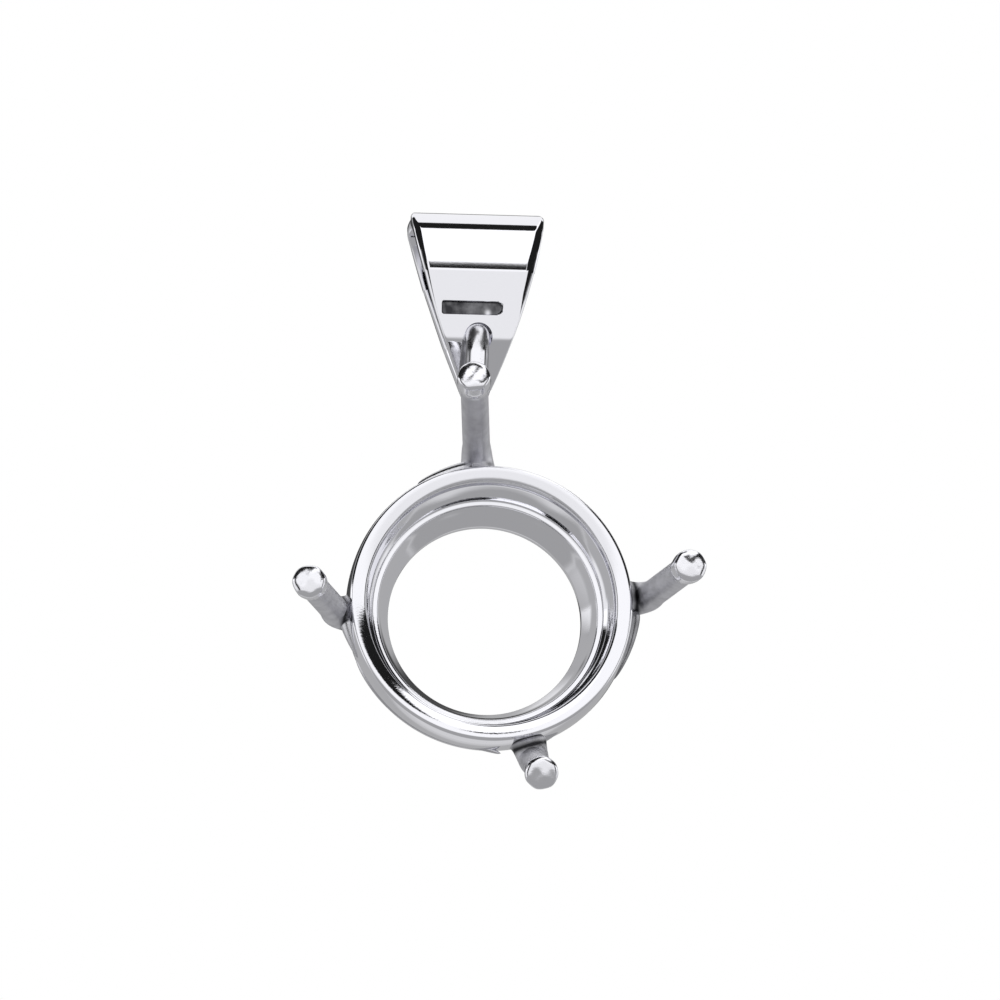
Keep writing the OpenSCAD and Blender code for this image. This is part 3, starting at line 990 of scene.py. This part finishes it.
def silver(name, shine, ripple, hairlines, dullness=0.0, shade_and_dirt=0.0, by_point=()):
    """A polished or dull silver: the shared skin with this piece's amounts, some of them read
    from the points of the mesh."""
    material = bpy.data.materials.new(name)
    material.use_nodes = True
    nodes, links = material.node_tree.nodes, material.node_tree.links
    shader = nodes["Principled BSDF"]
    shader.inputs["Metallic"].default_value = 1.0
    skin = nodes.new("ShaderNodeGroup")
    skin.node_tree = silver_skin
    for socket_name, value in {"Shine roughness": shine, "Dullness": dullness, "Ripple": ripple,
                               "Hairlines": hairlines, "Shade_and_dirt": shade_and_dirt}.items():
        skin.inputs[socket_name].default_value = value
    for socket_name in by_point:
        attribute = nodes.new("ShaderNodeAttribute")
        attribute.attribute_name = socket_name.lower()
        links.new(attribute.outputs["Fac"], skin.inputs[socket_name])
    bump = nodes.new("ShaderNodeBump")
    bump.inputs["Strength"].default_value = BUMP_STRENGTH
    bump.inputs["Distance"].default_value = BUMP_M
    links.new(skin.outputs["Height"], bump.inputs["Height"])
    links.new(bump.outputs["Normal"], shader.inputs["Normal"])
    links.new(skin.outputs["Roughness"], shader.inputs["Roughness"])
    links.new(skin.outputs["Color"], shader.inputs["Base Color"])
    print("material:", name)
    return material


def give(piece, material, slot, body, *nodes_replaced):
    """Put a material on a piece, let it move with a body, and hide the measured parts it replaces.
    """
    piece.data.materials.clear()
    piece.data.materials.append(material)
    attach(piece, body)
    if nodes_replaced:
        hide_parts(*nodes_replaced)


def carry(piece, name, values):
    """Store one number for each point of the mesh under a name that materials can read."""
    attribute = piece.data.attributes.new(name, "FLOAT", "POINT")
    attribute.data.foreach_set("value", np.asarray(values, np.float32))


def points_of(piece):
    """The mesh's points as an array in millimetres."""
    flat = np.empty(3 * len(piece.data.vertices))
    piece.data.vertices.foreach_get("co", flat)
    return flat.reshape(-1, 3) / MM


# %% [markdown]
# The bail is the brightest piece. The floor of its blank field is painted dark as shade: the
# points that were pushed back carry painted shade that grows with their depth, apart from one
# painted highlight.

# %% Finish the bail
FIELD_MARGIN_X, FIELD_MARGIN_Z, FIELD_DEEPEST = 0.02, 0.03, 0.2
HIGHLIGHT_X, HIGHLIGHT_Z, HIGHLIGHT_SPREAD, HIGHLIGHT_SHARE = 0.52, -0.12, 0.008, 0.9

bail_silver = silver("bail_silver", shine=0.035, ripple=0.15, hairlines=0.02, by_point=["Shade_and_dirt"])
points = points_of(bail_piece)
from_mark_x, from_mark_z = points[:, 0] - MARK_X, points[:, 2] + MARK_DROP
outer_y = -np.interp(run_of_height(points[:, 2]), run_fine, out_fine)
depth_here = np.clip((points[:, 1] - outer_y) * math.cos(math.radians(PANEL_DEG)), 0, None)
in_field = ((np.abs(from_mark_x) < MARK_L / 2 + FIELD_MARGIN_X)
            & (np.abs(from_mark_z) < MARK_W / 2 + FIELD_MARGIN_Z)
            & (points[:, 1] < 0) & (depth_here < FIELD_DEEPEST))
# A painted highlight: one spot in the field where the painted shade is lifted.
painted_highlight = np.exp(-((from_mark_x - HIGHLIGHT_X) ** 2 + (from_mark_z - HIGHLIGHT_Z) ** 2) / HIGHLIGHT_SPREAD)
# Painted shade in the pressed field, darker where a point lies deeper.
recess_shade = np.clip(depth_here / MARK_DEPTH, 0, 1) * (1 - HIGHLIGHT_SHARE * painted_highlight)
carry(bail_piece, "shade_and_dirt", np.where(in_field, recess_shade, 0.0))
give(bail_piece, bail_silver, "bail_metal", "bail", "bail")
print("points in the blank field:", int(in_field.sum()))

# %% [markdown]
# The ring and the loop are polished too, but the top of the loop is worn dull where it rubs in
# the bail, and the sides of its front leg are painted dark and dull as shade.

# %% Finish the ring and the loop
WORN_ABOVE, WORN_RISE, WORN_AMOUNT = -0.75, 0.4, 0.7
SIDE_FROM, SIDE_RISE, SIDE_SHADE_DULLNESS, SIDE_SHADE = 0.5, 0.3, 0.4, 0.8
LEG_IN_FRONT_OF, LEG_BELOW = -1.0, 0.3

ring_silver = silver("ring_silver", shine=0.04, ripple=0.35, hairlines=0.12)
give(ring_piece, ring_silver, "setting_metal", "setting", "setting")
wire_silver = silver("wire_silver", shine=0.05, ripple=0.3, hairlines=0.15,
                     by_point=["Dullness", "Shade_and_dirt"])
points = points_of(loop_piece)
worn = WORN_AMOUNT * s_curve((points[:, 2] + EYE_DROP - WORN_ABOVE) / WORN_RISE)
knee, top = hung(np.array([[FRONT_KNEE_X, 0.0, -LEG_LOW], [LOOP_TOP_X[0], 0.0, 0.0]]))
leg_x = np.interp(points[:, 2], [knee[2], top[2]], [knee[0], top[0]])
off_leg = np.abs(points[:, 0] - leg_x) / WIRE_R
on_front_leg = (points[:, 1] < LEG_IN_FRONT_OF) & (points[:, 2] < top[2] - LEG_BELOW)
# Painted shade along both sides of the front leg, as a duller, near-black finish.
painted_side_shade = s_curve((off_leg - SIDE_FROM) / SIDE_RISE) * on_front_leg
carry(loop_piece, "dullness", np.maximum(worn, SIDE_SHADE_DULLNESS * painted_side_shade))
carry(loop_piece, "shade_and_dirt", SIDE_SHADE * painted_side_shade)
give(loop_piece, wire_silver, "setting_metal", "setting", "setting")
print("unpolished points on the front leg:", int((painted_side_shade > 0.5).sum()))

# %% [markdown]
# The prongs were left dull below their heads, with a band of painted shade where three of them
# meet the ring. Solder is a little greyer than the silver around it, and the run on the right
# side is painted much darker as shade.

# %% Finish the prongs and the solder
BRIGHT_HEAD_L, BRIGHT_FADE = 0.55, 0.4
SHADE_BAND_R, SHADE_BAND_W, SHADE_BAND_DEPTH = 4.84, 0.10, 1.0
SHADE_BAND_AMOUNT, UNSHADED_PRONG = 1.2, "prong_top"

prong_silver = silver("prong_silver", shine=0.15, ripple=0.6, hairlines=0.3,
                      by_point=["Dullness", "Shade_and_dirt"])
for name, piece in prong_pieces.items():
    points = points_of(piece)
    ahead = -LIP_FRONT - points[:, 1]
    carry(piece, "dullness", s_curve((PRONG_REACH - BRIGHT_HEAD_L - ahead) / BRIGHT_FADE))
    # A band of painted shade on the prong where it meets the ring.
    from_axis = points - hung(on_ring(0.0, 0.0, STUB_DEPTH))
    off_shade_band = np.hypot(from_axis[:, 0], from_axis[:, 2]) - SHADE_BAND_R
    shade_band = np.exp(-(off_shade_band / SHADE_BAND_W) ** 2) * (np.abs(from_axis[:, 1]) < SHADE_BAND_DEPTH)
    carry(piece, "shade_and_dirt", SHADE_BAND_AMOUNT * shade_band * (name != UNSHADED_PRONG))
    give(piece, prong_silver, "setting_metal", "setting", "setting")
solder_silver = silver("solder_silver", shine=0.12, ripple=0.9, hairlines=0.3, dullness=0.25,
                       shade_and_dirt=0.2)
# The run on the right side of the ring is painted near black, as shade.
solder_painted_shade = silver("solder_painted_shade", shine=0.15, ripple=0.9, hairlines=0.3, dullness=0.3,
                     shade_and_dirt=0.75)
for name, piece in solder_pieces.items():
    finish = solder_painted_shade if name == "solder_right" else solder_silver
    give(piece, finish, "setting_metal", "setting", "setting")
